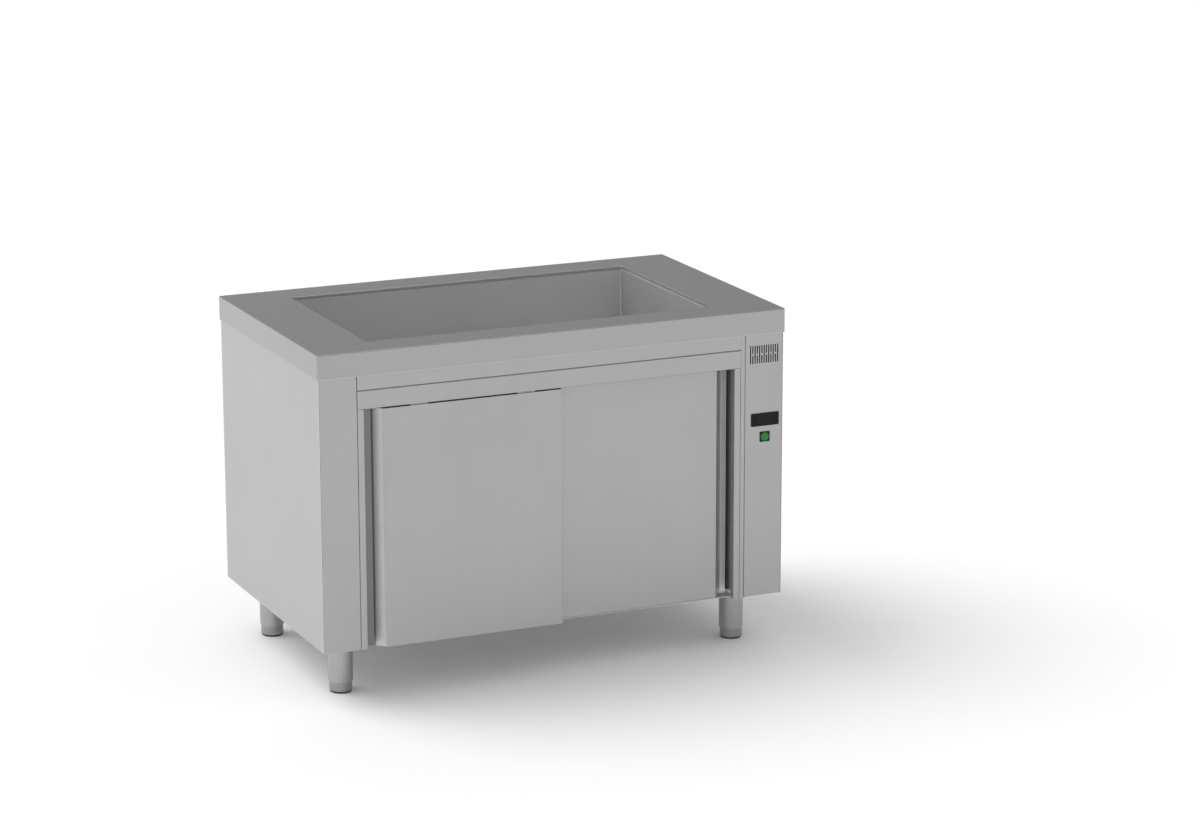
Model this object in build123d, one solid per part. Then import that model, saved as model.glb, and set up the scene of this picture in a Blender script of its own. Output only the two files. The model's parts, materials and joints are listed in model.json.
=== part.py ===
from build123d import *

import os

os.makedirs("parts", exist_ok=True)

# Bain-marie counter, in millimetres.
# The origin is on the floor under the middle of the worktop. X runs to the right, Y to the back
# and Z up, so the doors and the control panel face -Y.

# Overall size
counter_width = 1200
counter_depth = 700
counter_height = 850

# Sheet gauges and the gaps between pieces
top_sheet = 1.5
panel_sheet = 1.2
door_sheet = 1.0
pan_sheet = 1.0
bend_radius = 1.0
tight_bend = 0.3
seam = 0.4
seat_gap = 0.2

# Worktop and the opening of the well
apron_height = 59
top_overhang = 3
top_corner_radius = 3
top_edge_radius = 2.5
well_side_margin = 155.5
well_back_margin = 92.5
well_opening_radius = 6
well_front_margin = 88.5
rim_drop = 9
stiffener_width = 30
stiffener_brim = 8
stiffener_height = 18
stiffener_inset = 45
stiffener_end_gap = 30

# Well pan, insulation and casing
pan_ledge = 4.5
pan_corner_radius = 5.5
pan_floor_radius = 5
pan_flange = 22
well_depth = 170
insulation_thickness = 17
insulation_gap = 0.5
element_space = 12
insulation_floor = 22

# Drain
drain_inset_side = 50
drain_inset_back = 48
dish_radius = 45
dish_floor_radius = 32
dish_depth = 4
socket_flange_radius = 26
socket_flange_thickness = 1.5
drain_bore_radius = 10
drain_tube_radius = 13.5
hole_clearance = 0.5
socket_tail = 16
socket_nut_radius = 20
socket_nut_height = 7
strainer_radius = 22
strainer_rise = 5
strainer_sheet = 1.0
strainer_hole_radius = 2
strainer_hole_circle = 11
strainer_holes = 8
valve_length = 62
valve_end_radius = 18
valve_belly_radius = 22
valve_ball_radius = 14.5
valve_bore_radius = 9
valve_stem_radius = 4
valve_bonnet_radius = 9
valve_bonnet_reach = 30
valve_stem_reach = 36
moving_gap = 0.3
lever_length = 95
lever_width = 16
lever_thickness = 2.5
lever_hub_radius = 11
pipe_insertion = 10
pipe_outlet_drop = 45
outlet_spigot_radius = 12.5
outlet_spigot_length = 36

# Heating element
element_radius = 4
element_left_inset = 60
element_turn_inset = 140
element_row_pitch = 90
element_row_shift = -13
element_bend_radius = 30
element_tail = 24
clamp_left_inset = 150
clamp_right_inset = 50
clamp_middle = 40
clamp_width = 20
clamp_sheet = 2
clamp_stud_radius = 2.5
clamp_overhang = 16

# Body shell
flange = 14
panel_flange_setback = 23
base_height = 141
floor_front_setback = 60
floor_step_front = 30.5
floor_step_drop = 9
rear_upstand = 14
rear_slots = 8
rear_slot_pitch = 12
rear_slot_length = 60
rear_slot_width = 4
rear_slot_inset = 55.25
rear_slot_drop = 168.75

# Front frame, from the left: post, stile, doors, stile, column strip, control panel
post_width = 95
stile_width = 16.2
stile_return = 14
frame_flange = 17
post_hem = 22
control_panel_width = 101
column_strip = 12.5
column_setback = 1
column_rebate = 8
panel_edge_fold = 2.8
control_panel_lift = 2
head_rail_height = 45
head_rail_drop = 139
track_shelf_depth = 58

# Sliding doors
door_overlap = 30.7
door_gap_top = 3
left_door_reveal = 48.8
right_door_reveal = 35
door_pitch = 27
door_thickness = 18
pull_run = 24
pull_depth = 25
lip_overlap = 2.5
left_door_foot_drop = 1.3
door_clearance_over_step = 1.5
door_rear_fold = 13
liner_gap = 0.1
liner_top_gap = 1
liner_flange_gap = 1.5
liner_flange_depth = 4
hanger_neck_gap = 1

# Door track, hangers and rollers
track_wall = 1.2
track_web = 2
roller_lane = 10
roller_radius = 10
roller_width = 6
roller_groove = 2
roller_axle_radius = 2.5
roller_rise = 24
rail_thickness = 2
rail_lip = 6
lane_wall_offset = 8
hanger_sheet = 2
hanger_width = 44
hanger_gap = 1
hanger_drop = 32
hanger_spacer_drop = 8
hanger_head_rise = 5
hanger_head_chamfer = 11
axle_end = 1
hanger_inset = 90

# Floor guides of the doors
guide_height = 12
guide_play = 0.7
guide_length = 9
guide_edge = 3
guide_stand_off = 1.5

# Control panel
vent_slots = 13
vent_slot_width = 3.5
vent_height = 45.5
vent_width = 76.5
vent_bridge = 3.5
vent_inset = 51.25
vent_drop = 108.75
controller_width = 74
controller_height = 32
controller_inset = 48
controller_drop = 271.5
controller_proud = 2.5
controller_case_depth = 58
cutout_margin = 1.5
controller_window_width = 44
controller_window_height = 20
controller_key_strip = 8
controller_key_inset = 2
controller_key_height = 26
controller_key_depth = 0.6
controller_corner = 1.5
controller_chamfer = 0.5
controller_window_shift = 3
controller_window_corner = 1
controller_window_depth = 1
controller_lens_sink = 0.4
controller_clip_reach = 4
controller_clip_height = 12
controller_clip_depth = 6
switch_width = 27
switch_height = 25.5
switch_inset = 48
switch_drop = 314.8
switch_bezel_proud = 1.2
switch_body_depth = 30
switch_button_radius = 10.5
switch_button_proud = 2.8
switch_travel = 1.5
switch_dome_rise = 1.6
switch_lens_wall = 1.5
switch_skirt = 8
switch_lamp_radius = 2.5
switch_corner = 1.5
switch_chamfer = 0.4
switch_bore_depth = 18

# Electrics in the bay behind the panel
rail_height = 35
rail_depth = 7.5
rail_sheet = 1.0
rail_brim = 5
rail_y = (-150, 60)
rail_rise = 279
relay_size = (56, 45, 74)
relay_y = -100
relay_base_depth = 34
relay_head_height = 37
relay_screw_radius = 3
relay_screw_depth = 5
relay_screw_pitch = 11
relay_screw_rise = 29
terminal_pitch = 10
terminal_count = 7
terminal_size = (38, 46)
terminal_shoulder = (23, 11.5)
terminal_start_y = -45
gland_inset = 52
gland_y = 80
gland_thread_radius = 10
gland_hex_radius = 14
gland_bore_radius = 5
gland_collar_height = 6
gland_nut_height = 5
gland_thread_rise = 9
gland_dome_height = 18
gland_dome_radii = (8, 12)

# Legs and adjustable feet
leg_inset_side = 84.3
leg_inset_front = 114
leg_inset_back = 98
sleeve_radius = 30
sleeve_wall = 1.5
sleeve_bottom = 28
leg_plate_size = 84
leg_plate_thickness = 3
leg_plate_corner = 8
spigot_wall = 2
leg_spigot = 25
insert_drop = 57
insert_height = 22
foot_radius = 27.5
foot_top = 50
foot_wall = 2
foot_floor = 5
stem_radius = 6
stem_end = 6
pad_radius = 26
pad_height = 3
foot_edge = 2

# Places that follow from the sizes above
left_end = -counter_width / 2
right_end = counter_width / 2
front_end = -counter_depth / 2
back_end = counter_depth / 2
body_left = left_end + top_overhang
body_right = right_end - top_overhang
body_front = front_end + top_overhang
body_back = back_end - top_overhang
inside_left = body_left + panel_sheet + seat_gap
inside_right = body_right - panel_sheet - seat_gap
inside_back = body_back - panel_sheet - seat_gap
top_underside = counter_height - top_sheet
apron_bottom = counter_height - apron_height
panel_top = top_underside - seat_gap

body_bottom = base_height - floor_step_drop
floor_step_height = base_height - floor_step_drop
head_rail_bottom = counter_height - head_rail_drop
roller_height = head_rail_bottom + roller_rise

left_wall = body_left + post_width
left_stile_edge = left_wall + stile_width
panel_left = body_right - control_panel_width
right_wall = panel_left - column_strip
right_stile_edge = right_wall - stile_width
frame_back = body_front + frame_flange
walls_bottom = base_height + seat_gap
bay_wall_face = right_wall + seat_gap
door_opening = right_stile_edge - left_stile_edge
door_face_width = (door_opening - left_door_reveal - right_door_reveal + door_overlap) / 2
door_bottom = floor_step_height - left_door_foot_drop

vent_middle_x = body_right - vent_inset
vent_middle_z = counter_height - vent_drop
controller_middle_x = body_right - controller_inset
controller_middle_z = counter_height - controller_drop
switch_middle_x = body_right - switch_inset
switch_middle_z = counter_height - switch_drop
rear_slot_middle_x = body_right - rear_slot_inset
rear_slot_middle_z = counter_height - rear_slot_drop
rail_middle_z = base_height + rail_rise
gland_x = body_right - gland_inset

well_opening_width = counter_width - 2 * well_side_margin
well_opening_depth = counter_depth - well_front_margin - well_back_margin
well_y = front_end + well_front_margin + well_opening_depth / 2
rim_bottom = counter_height - rim_drop
pan_width = well_opening_width - 2 * pan_ledge
pan_depth = well_opening_depth - 2 * pan_ledge
pan_floor = counter_height - well_depth
drain_x = pan_width / 2 - drain_inset_side
drain_y = well_y + pan_depth / 2 - drain_inset_back
element_left = element_left_inset - pan_width / 2
element_inner_turn = pan_width / 2 - element_turn_inset
element_rows = [
    well_y + element_row_shift + place * element_row_pitch for place in (-1.5, -0.5, 0.5, 1.5)
]
clamp_places = (
    element_left + clamp_left_inset,
    clamp_middle,
    element_inner_turn - clamp_right_inset,
)
pan_underside = pan_floor - pan_sheet
insulation_top = pan_underside - element_space
insulation_bottom = insulation_top - insulation_floor
casing_bottom = insulation_bottom - insulation_gap - panel_sheet
casing_top = rim_bottom - pan_sheet - seat_gap

head_rail_top = head_rail_bottom + head_rail_height
door_top = head_rail_bottom - door_gap_top
floor_front = front_end + floor_front_setback
step_front = front_end + floor_step_front

valve_top = casing_bottom - socket_tail + pipe_insertion
valve_middle = valve_top - valve_length / 2
valve_bottom = valve_top - valve_length
pipe_outlet_height = base_height - pipe_outlet_drop

insert_bottom = base_height - insert_drop
stem_top = insert_bottom + insert_height + stem_end
leg_x = counter_width / 2 - leg_inset_side
leg_front_y = front_end + leg_inset_front
leg_back_y = back_end - leg_inset_back
leg_places = {
    "front_left": (-leg_x, leg_front_y),
    "front_right": (leg_x, leg_front_y),
    "rear_left": (-leg_x, leg_back_y),
    "rear_right": (leg_x, leg_back_y),
}


def block(x, y, z):
    """A cuboid between two limits on each axis."""
    size = Box(x[1] - x[0], y[1] - y[0], z[1] - z[0])
    return Pos((x[0] + x[1]) / 2, (y[0] + y[1]) / 2, (z[0] + z[1]) / 2) * size


def rod(radius, x, y, z):
    """An upright round bar between two heights."""
    return Pos(x, y, (z[0] + z[1]) / 2) * Cylinder(radius, z[1] - z[0])


def cross_rod(radius, x, y, z):
    """A round bar along Y between two depths."""
    return Pos(x, (y[0] + y[1]) / 2, z) * Rot(90, 0, 0) * Cylinder(radius, y[1] - y[0])


def along_x(section, x):
    """A section drawn in Y and Z, drawn out between two places on X."""
    return extrude(Plane.YZ.offset(x[0]) * section, x[1] - x[0], dir=(1, 0, 0))


def along_y(section, y):
    """A section drawn in X and Z, drawn out between two places on Y."""
    return extrude(Plane.XZ.offset(-y[0]) * section, y[1] - y[0], dir=(0, 1, 0))


def along_z(section, z):
    """A section drawn in X and Y, drawn out between two heights."""
    return extrude(Plane.XY.offset(z[0]) * section, z[1] - z[0], dir=(0, 0, 1))


def sheet_section(line, sheet, bend=bend_radius):
    """The section of a folded sheet, whose outer face runs along the points of line.

    The sheet lies to the left of the line as it is walked, or to the right when sheet is negative.
    Each fold gets its inner bend radius on the inside and that plus the sheet on the outside.
    """
    corners = [Vector(*point) for point in line]
    runs = [(b - a).normalized() for a, b in zip(corners, corners[1:])]
    sides = [Vector(-run.Y, run.X) for run in runs]
    back_face = [corners[0] + sides[0] * sheet]
    face_radii = []
    back_radii = []
    for place in range(1, len(corners) - 1):
        before, after = sides[place - 1], sides[place]
        mitre = (before + after) * (1 / (1 + before.dot(after)))
        back_face.append(corners[place] + mitre * sheet)
        turn = runs[place - 1].X * runs[place].Y - runs[place - 1].Y * runs[place].X
        back_is_inside = turn * sheet > 0
        face_radii.append(bend + abs(sheet) if back_is_inside else bend)
        back_radii.append(bend if back_is_inside else bend + abs(sheet))
    back_face.append(corners[-1] + sides[-1] * sheet)
    face = FilletPolyline(*corners, radius=face_radii)
    back = FilletPolyline(*back_face, radius=back_radii)
    ends = [Line(corners[0], back_face[0]), Line(corners[-1], back_face[-1])]
    return make_face(face.edges() + back.edges() + ends)


def rounded(width, depth, radius, y=0.0):
    """A rectangle with round corners, centred on X."""
    return Pos(0, y) * RectangleRounded(width, depth, radius)


def make_worktop():
    """Folded top: flat, apron on four sides, and the rim of the well folded down."""
    outside = along_z(
        rounded(counter_width, counter_depth, top_corner_radius), (apron_bottom, counter_height)
    )
    outside = fillet(outside.faces().sort_by(Axis.Z)[-1].edges(), top_edge_radius)
    hollow = along_z(
        rounded(
            counter_width - 2 * top_sheet,
            counter_depth - 2 * top_sheet,
            top_corner_radius - top_sheet,
        ),
        (apron_bottom - top_sheet, top_underside),
    )
    rim = along_z(
        rounded(
            well_opening_width + 2 * top_sheet,
            well_opening_depth + 2 * top_sheet,
            well_opening_radius + top_sheet,
            well_y,
        ),
        (rim_bottom, top_underside),
    )
    opening = along_z(
        rounded(well_opening_width, well_opening_depth, well_opening_radius, well_y),
        (rim_bottom - top_sheet, counter_height + top_sheet),
    )
    top = outside - hollow + rim - opening
    inner_edge = top.faces().sort_by(Axis.Z)[-1].inner_wires()[0].edges()
    return fillet(inner_edge, top_edge_radius)


def make_top_stiffeners():
    """Hat channels that stiffen the front and the rear strip of the top."""
    half = stiffener_width / 2
    roof = panel_top + seat_gap
    floor = roof - stiffener_height
    ends = (left_end + stiffener_end_gap, right_end - stiffener_end_gap)
    bars = []
    for y in (front_end + stiffener_inset, back_end - stiffener_inset):
        line = [
            (y - half - stiffener_brim, roof),
            (y - half, roof),
            (y - half, floor),
            (y + half, floor),
            (y + half, roof),
            (y + half + stiffener_brim, roof),
        ]
        bars.append(along_x(sheet_section(line, -panel_sheet), ends))
    return Compound(bars)


def make_well_pan():
    """Pressed water well with a welding flange and a dished drain."""
    shell = along_z(
        rounded(
            pan_width + 2 * pan_sheet, pan_depth + 2 * pan_sheet, pan_corner_radius + pan_sheet, well_y
        ),
        (pan_underside, rim_bottom),
    )
    shell = fillet(shell.faces().sort_by(Axis.Z)[0].edges(), pan_floor_radius + pan_sheet)
    dish_outside = Pos(drain_x, drain_y, pan_floor - pan_sheet - dish_depth / 2) * Cone(
        dish_floor_radius + pan_sheet, dish_radius + pan_sheet, dish_depth
    )
    flange_sheet = along_z(
        rounded(
            pan_width + 2 * pan_flange, pan_depth + 2 * pan_flange, pan_corner_radius + pan_flange, well_y
        ),
        (rim_bottom - pan_sheet, rim_bottom),
    )
    water = along_z(
        rounded(pan_width, pan_depth, pan_corner_radius, well_y), (pan_floor, rim_bottom)
    )
    water = fillet(water.faces().sort_by(Axis.Z)[0].edges(), pan_floor_radius)
    dish_inside = Pos(drain_x, drain_y, pan_floor - dish_depth / 2) * Cone(
        dish_floor_radius, dish_radius, dish_depth
    )
    hole = rod(
        drain_tube_radius + hole_clearance,
        drain_x,
        drain_y,
        (pan_floor - 2 * dish_depth, pan_floor),
    )
    return shell + dish_outside + flange_sheet - water - dish_inside - hole


def drain_hole(radius, z):
    """The round way that the drain needs through a piece."""
    return rod(radius, drain_x, drain_y, z)


def make_insulation():
    """Blanket tray round the sides and the floor of the well."""
    inner_width = pan_width + 2 * (pan_sheet + insulation_gap)
    inner_depth = pan_depth + 2 * (pan_sheet + insulation_gap)
    outside = along_z(
        rounded(
            inner_width + 2 * insulation_thickness,
            inner_depth + 2 * insulation_thickness,
            pan_corner_radius + insulation_thickness,
            well_y,
        ),
        (insulation_bottom, casing_top),
    )
    inside = along_z(
        rounded(inner_width, inner_depth, pan_corner_radius + pan_sheet, well_y),
        (insulation_top, casing_top),
    )
    tray = outside - inside - drain_hole(2 * drain_tube_radius, (insulation_bottom, insulation_top))
    for row in (element_rows[0], element_rows[-1]):
        tray -= element_exit(row)
    return tray


def casing_size():
    """Outer width and depth of the casing."""
    wall = pan_sheet + 2 * insulation_gap + insulation_thickness + panel_sheet
    return pan_width + 2 * wall, pan_depth + 2 * wall


def element_exit(row):
    """The round way of a tail of the heating element, out to the right."""
    radius = element_radius + hole_clearance
    start = pan_width / 2 - element_tail
    end = casing_size()[0] / 2 + element_tail
    middle = Pos((start + end) / 2, row, element_height())
    return middle * Rot(0, 90, 0) * Cylinder(radius, end - start)


def element_height():
    """Height of the middle of the element's tube."""
    return pan_underside - seat_gap - element_radius


def make_well_casing():
    """Outer tray that holds the insulation and makes the ceiling of the cupboard."""
    width, depth = casing_size()
    outer_radius = pan_corner_radius + insulation_thickness + panel_sheet
    outside = along_z(rounded(width, depth, outer_radius, well_y), (casing_bottom, casing_top))
    inside = along_z(
        rounded(
            width - 2 * panel_sheet, depth - 2 * panel_sheet, outer_radius - panel_sheet, well_y
        ),
        (casing_bottom + panel_sheet, casing_top),
    )
    tray = outside - inside
    tray -= drain_hole(drain_tube_radius + hole_clearance, (casing_bottom - 1, insulation_top))
    for row in (element_rows[0], element_rows[-1]):
        tray -= element_exit(row)
    return tray


def make_heating_element():
    """Armoured tube bent in rows under the floor of the well, both tails out to the right."""
    tail_end = casing_size()[0] / 2 + element_tail / 2
    route = [(tail_end, element_rows[0])]
    ends = (element_left, element_inner_turn)
    for place, (row, next_row) in enumerate(zip(element_rows, element_rows[1:])):
        turn = ends[place % 2]
        route.append((turn, row))
        route.append((turn, next_row))
    route.append((tail_end, element_rows[-1]))
    path = Plane.XY.offset(element_height()) * FilletPolyline(*route, radius=element_bend_radius)
    section = Plane(path @ 0, z_dir=path % 0) * Circle(element_radius)
    return sweep(section, path=path)


def make_element_clamps():
    """Flat straps on studs that press the element against the floor of the well."""
    strap_top = element_height() - element_radius - seat_gap
    first, last = element_rows[0] - clamp_overhang, element_rows[-1] + clamp_overhang
    straps = []
    for x in clamp_places:
        strap = block(
            (x - clamp_width / 2, x + clamp_width / 2),
            (first, last),
            (strap_top - clamp_sheet, strap_top),
        )
        for row, next_row in (element_rows[:2], element_rows[2:]):
            middle = (row + next_row) / 2
            strap += rod(clamp_stud_radius, x, middle, (strap_top - clamp_sheet, pan_underside))
        straps.append(strap)
    return Compound(straps)


def make_drain_socket():
    """Flanged socket through the floor of the well, held by a hexagon nut below."""
    dish_floor = pan_floor - dish_depth
    nut_top = dish_floor - pan_sheet
    tube_bottom = casing_bottom - socket_tail
    flange_disc = rod(
        socket_flange_radius, drain_x, drain_y, (dish_floor, dish_floor + socket_flange_thickness)
    )
    tube = rod(drain_tube_radius, drain_x, drain_y, (tube_bottom, dish_floor))
    nut = along_z(
        Pos(drain_x, drain_y) * RegularPolygon(socket_nut_radius, 6),
        (nut_top - socket_nut_height, nut_top),
    )
    bore = rod(
        drain_bore_radius, drain_x, drain_y, (tube_bottom, dish_floor + socket_flange_thickness)
    )
    return flange_disc + tube + nut - bore


def make_drain_strainer():
    """Domed cap with a ring of holes, loose on the socket."""
    seat = pan_floor - dish_depth + socket_flange_thickness
    rim = rod(strainer_radius, drain_x, drain_y, (seat, seat + strainer_rise))
    rim = fillet(rim.edges().sort_by(Axis.Z)[-1], strainer_rise / 2)
    cavity = rod(
        strainer_radius - strainer_sheet, drain_x, drain_y, (seat, seat + strainer_rise - strainer_sheet)
    )
    cap = rim - cavity
    for hole in PolarLocations(strainer_hole_circle, strainer_holes):
        cap -= Pos(drain_x, drain_y, seat) * hole * Cylinder(strainer_hole_radius, 4 * strainer_rise)
    return cap


def make_drain_valve_body():
    """Ball valve body: two sockets, a round belly and the bonnet of the stem."""
    body = rod(valve_end_radius, drain_x, drain_y, (valve_bottom, valve_top))
    body += Pos(drain_x, drain_y, valve_middle) * Sphere(valve_belly_radius)
    body += cross_rod(
        valve_bonnet_radius, drain_x, (drain_y - valve_bonnet_reach, drain_y), valve_middle
    )
    body -= rod(drain_bore_radius, drain_x, drain_y, (valve_bottom, valve_top))
    socket = drain_tube_radius + seat_gap / 2
    body -= rod(socket, drain_x, drain_y, (valve_top - pipe_insertion, valve_top))
    body -= rod(socket, drain_x, drain_y, (valve_bottom, valve_bottom + pipe_insertion))
    body -= Pos(drain_x, drain_y, valve_middle) * Sphere(valve_ball_radius + moving_gap)
    body -= cross_rod(
        valve_stem_radius + moving_gap,
        drain_x,
        (drain_y - valve_bonnet_reach, drain_y),
        valve_middle,
    )
    return body


def make_drain_valve_ball():
    """Ball with its stem, shut: the bore lies across the pipe."""
    ball = Pos(drain_x, drain_y, valve_middle) * Sphere(valve_ball_radius)
    bore = Pos(drain_x, drain_y, valve_middle) * Rot(0, 90, 0)
    ball -= bore * Cylinder(valve_bore_radius, 2 * valve_ball_radius)
    ball += cross_rod(
        valve_stem_radius,
        drain_x,
        (drain_y - valve_stem_reach, drain_y - valve_bore_radius - 1),
        valve_middle,
    )
    return ball


def make_drain_valve_lever():
    """Flat lever on the end of the stem, across the pipe when shut."""
    hub = Pos(drain_x, valve_middle) * Circle(lever_hub_radius)
    arm = Pos(drain_x - lever_length / 2, valve_middle) * SlotOverall(
        lever_length + lever_width, lever_width
    )
    hole = Pos(drain_x, valve_middle) * Circle(valve_stem_radius + seat_gap / 2)
    end = drain_y - valve_stem_reach
    return along_y(hub + arm - hole, (end + 1, end + 1 + lever_thickness))


def make_drain_pipe():
    """Outlet pipe from the valve down through the base, turned down at its end for a hose."""
    top = valve_bottom + pipe_insertion
    shoulder = pipe_outlet_height + outlet_spigot_length
    pipe = rod(drain_tube_radius, drain_x, drain_y, (shoulder, top))
    pipe += rod(outlet_spigot_radius, drain_x, drain_y, (pipe_outlet_height, shoulder))
    return pipe - rod(drain_bore_radius, drain_x, drain_y, (pipe_outlet_height, top))


def make_side_panel(side):
    """Outer side panel with a flange at the top and at the bottom."""
    face = body_left if side < 0 else body_right
    line = [
        (face - side * flange, body_bottom),
        (face, body_bottom),
        (face, panel_top + seat_gap),
        (face - side * flange, panel_top + seat_gap),
    ]
    section = sheet_section(line, side * panel_sheet)
    panel = along_y(section, (body_front, body_back))
    inner_face = face - side * panel_sheet
    corner = sorted((inner_face, face - side * (flange + 1)))
    for near, far in (
        (body_front - 1, body_front + panel_flange_setback),
        (body_back - panel_flange_setback, body_back + 1),
    ):
        panel -= block(corner, (near, far), (body_bottom - 1, panel_top + 1))
    return panel


def make_back_panel():
    """Back panel between the side panels, with cooling slots behind the control bay."""
    line = [
        (inside_left, body_back - flange),
        (inside_left, body_back),
        (inside_right, body_back),
        (inside_right, body_back - flange),
    ]
    panel = along_z(sheet_section(line, -panel_sheet), (body_bottom, panel_top))
    middle = Pos(rear_slot_middle_x, body_back, rear_slot_middle_z) * Rot(90, 0, 0)
    for place in GridLocations(1, rear_slot_pitch, 1, rear_slots):
        slot = SlotOverall(rear_slot_length, rear_slot_width)
        panel -= middle * place * extrude(slot, 4 * panel_sheet, both=True)
    return panel


def make_base_deck():
    """Floor of the cupboard: stepped down in front for the doors, carried on to both sides."""
    back = inside_back - panel_sheet
    line = [
        (step_front, floor_step_height),
        (floor_front, floor_step_height),
        (floor_front, base_height),
        (back, base_height),
        (back, base_height + rear_upstand),
    ]
    section = sheet_section(line, -panel_sheet)
    deck = along_x(section, (left_wall + panel_sheet, right_wall - panel_sheet))
    deck_z = (base_height - panel_sheet, base_height)
    sides_y = (body_front + panel_flange_setback, body_back - panel_flange_setback)
    deck += block((inside_left, left_wall + panel_sheet), sides_y, deck_z)
    deck += block((right_wall - panel_sheet, inside_right), sides_y, deck_z)
    deck += block(
        left_guide_span(),
        (body_front + 2 * door_sheet, step_front + 1),
        (floor_step_height - panel_sheet, floor_step_height),
    )
    deck -= drain_hole(drain_tube_radius + hole_clearance, (body_bottom, base_height + 1))
    deck -= rod(gland_thread_radius + hole_clearance, gland_x, gland_y, (body_bottom, base_height + 1))
    return deck


def left_door_face():
    """Left and right edge of the left door's flat face."""
    start = left_stile_edge + left_door_reveal
    return start, start + door_face_width


def right_door_face():
    """Left and right edge of the right door's flat face."""
    end = right_stile_edge - right_door_reveal
    return end - door_face_width, end


def left_guide_span():
    """Ends of the left door's floor guide, just inside the door's right edge when it is shut."""
    end = left_door_face()[1] - door_sheet - guide_stand_off
    return end - guide_length, end


def right_guide_span():
    """Ends of the right door's floor guide, just inside the door's left edge when it is shut."""
    start = right_door_face()[0] + door_sheet + guide_stand_off
    return start, start + guide_length


def make_inner_wall(side):
    """Side wall of the cupboard, with its flanges turned away from it."""
    wall = left_wall if side < 0 else right_wall
    inner = wall - side * panel_sheet
    line = [
        (inner + side * flange, frame_back + seat_gap),
        (inner, frame_back + seat_gap),
        (inner, inside_back),
        (inner + side * flange, inside_back),
    ]
    return along_z(
        sheet_section(line, -side * panel_sheet), (walls_bottom, panel_top - 2 * flange)
    )


def make_left_front_post():
    """Front post beside the left door: a channel as wide as the side box."""
    right_side = left_wall - seam
    line = [
        (inside_left, body_front + post_hem),
        (inside_left, body_front),
        (right_side, body_front),
        (right_side, frame_back),
    ]
    return along_z(sheet_section(line, panel_sheet), (body_bottom, panel_top))


def make_stile(side):
    """Narrow stile beside a door: a channel whose short leg is the edge of the door opening."""
    wall = left_wall if side < 0 else right_wall
    edge = left_stile_edge if side < 0 else right_stile_edge
    line = [
        (wall, frame_back),
        (wall, body_front),
        (edge, body_front),
        (edge, body_front + stile_return),
    ]
    return along_z(
        sheet_section(line, -side * panel_sheet), (body_bottom, head_rail_bottom - seat_gap)
    )


def make_control_column():
    """Strip beside the control panel, set back, with a rebate behind the panel's edge."""
    rebate = body_front + panel_edge_fold + seat_gap
    start = right_wall + seam
    reveal = body_front + column_setback
    line = [
        (start, frame_back),
        (start, reveal),
        (panel_left - seam, reveal),
        (panel_left - seam, rebate),
        (panel_left + column_rebate, rebate),
    ]
    return along_z(sheet_section(line, panel_sheet, tight_bend), (body_bottom, panel_top))


def make_control_panel():
    """Front of the control bay, with the ventilation slots and the two cut-outs."""
    line = [
        (panel_left, body_front + panel_edge_fold),
        (panel_left, body_front),
        (inside_right, body_front),
        (inside_right, body_front + frame_flange),
    ]
    bottom = body_bottom + control_panel_lift
    panel = along_z(sheet_section(line, panel_sheet, tight_bend), (bottom, panel_top))
    pitch = (vent_width - vent_slot_width) / (vent_slots - 1)
    first = vent_middle_x - (vent_width - vent_slot_width) / 2
    depth = (body_front - panel_sheet, body_front + 2 * panel_sheet)
    short_height = (vent_height - vent_bridge) / 2
    lift = (short_height + vent_bridge) / 2
    holes = []
    for count in range(vent_slots):
        x = first + count * pitch
        if count % 2 == 0:
            slots = [(vent_middle_z, vent_height)]
        else:
            slots = [(vent_middle_z - lift, short_height), (vent_middle_z + lift, short_height)]
        for z, height in slots:
            shape = Pos(x, z) * Rot(0, 0, 90) * SlotOverall(height, vent_slot_width)
            holes.append(along_y(shape, depth))
    margin = 2 * cutout_margin
    controller_hole = Pos(controller_middle_x, controller_middle_z) * Rectangle(
        controller_width - margin, controller_height - margin
    )
    switch_hole = Pos(switch_middle_x, switch_middle_z) * Rectangle(
        switch_width - margin, switch_height - margin
    )
    holes.append(along_y(controller_hole, depth))
    holes.append(along_y(switch_hole, depth))
    return panel - holes


def make_front_fascia():
    """Strip under the worktop, over the head rail."""
    bottom = head_rail_top + seat_gap
    line = [
        (frame_back, bottom),
        (body_front, bottom),
        (body_front, panel_top),
        (frame_back, panel_top),
    ]
    return along_x(sheet_section(line, -panel_sheet), (left_wall + seam, panel_left - column_strip))


def make_door_head_rail():
    """Rail over the doors: its shelf carries the track and its front hides it."""
    line = [
        (body_front + 3 * panel_sheet, head_rail_bottom),
        (body_front, head_rail_bottom),
        (body_front, head_rail_top),
        (body_front + track_shelf_depth, head_rail_top),
    ]
    rail = along_x(sheet_section(line, -panel_sheet), (left_wall + seam, right_wall - seam))
    shelf_y = (frame_back, body_front + track_shelf_depth + 1)
    shelf_z = (head_rail_top - 2 * panel_sheet, head_rail_top + 1)
    rail -= block((left_wall, left_wall + panel_sheet + seat_gap), shelf_y, shelf_z)
    rail -= block((right_wall - panel_sheet - seat_gap, right_wall), shelf_y, shelf_z)
    return rail


def lane_y(lane):
    """Middle plane of a door's rollers: lane 0 is the left door's, lane 1 the right door's."""
    return body_front + roller_lane + lane * door_pitch


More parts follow.
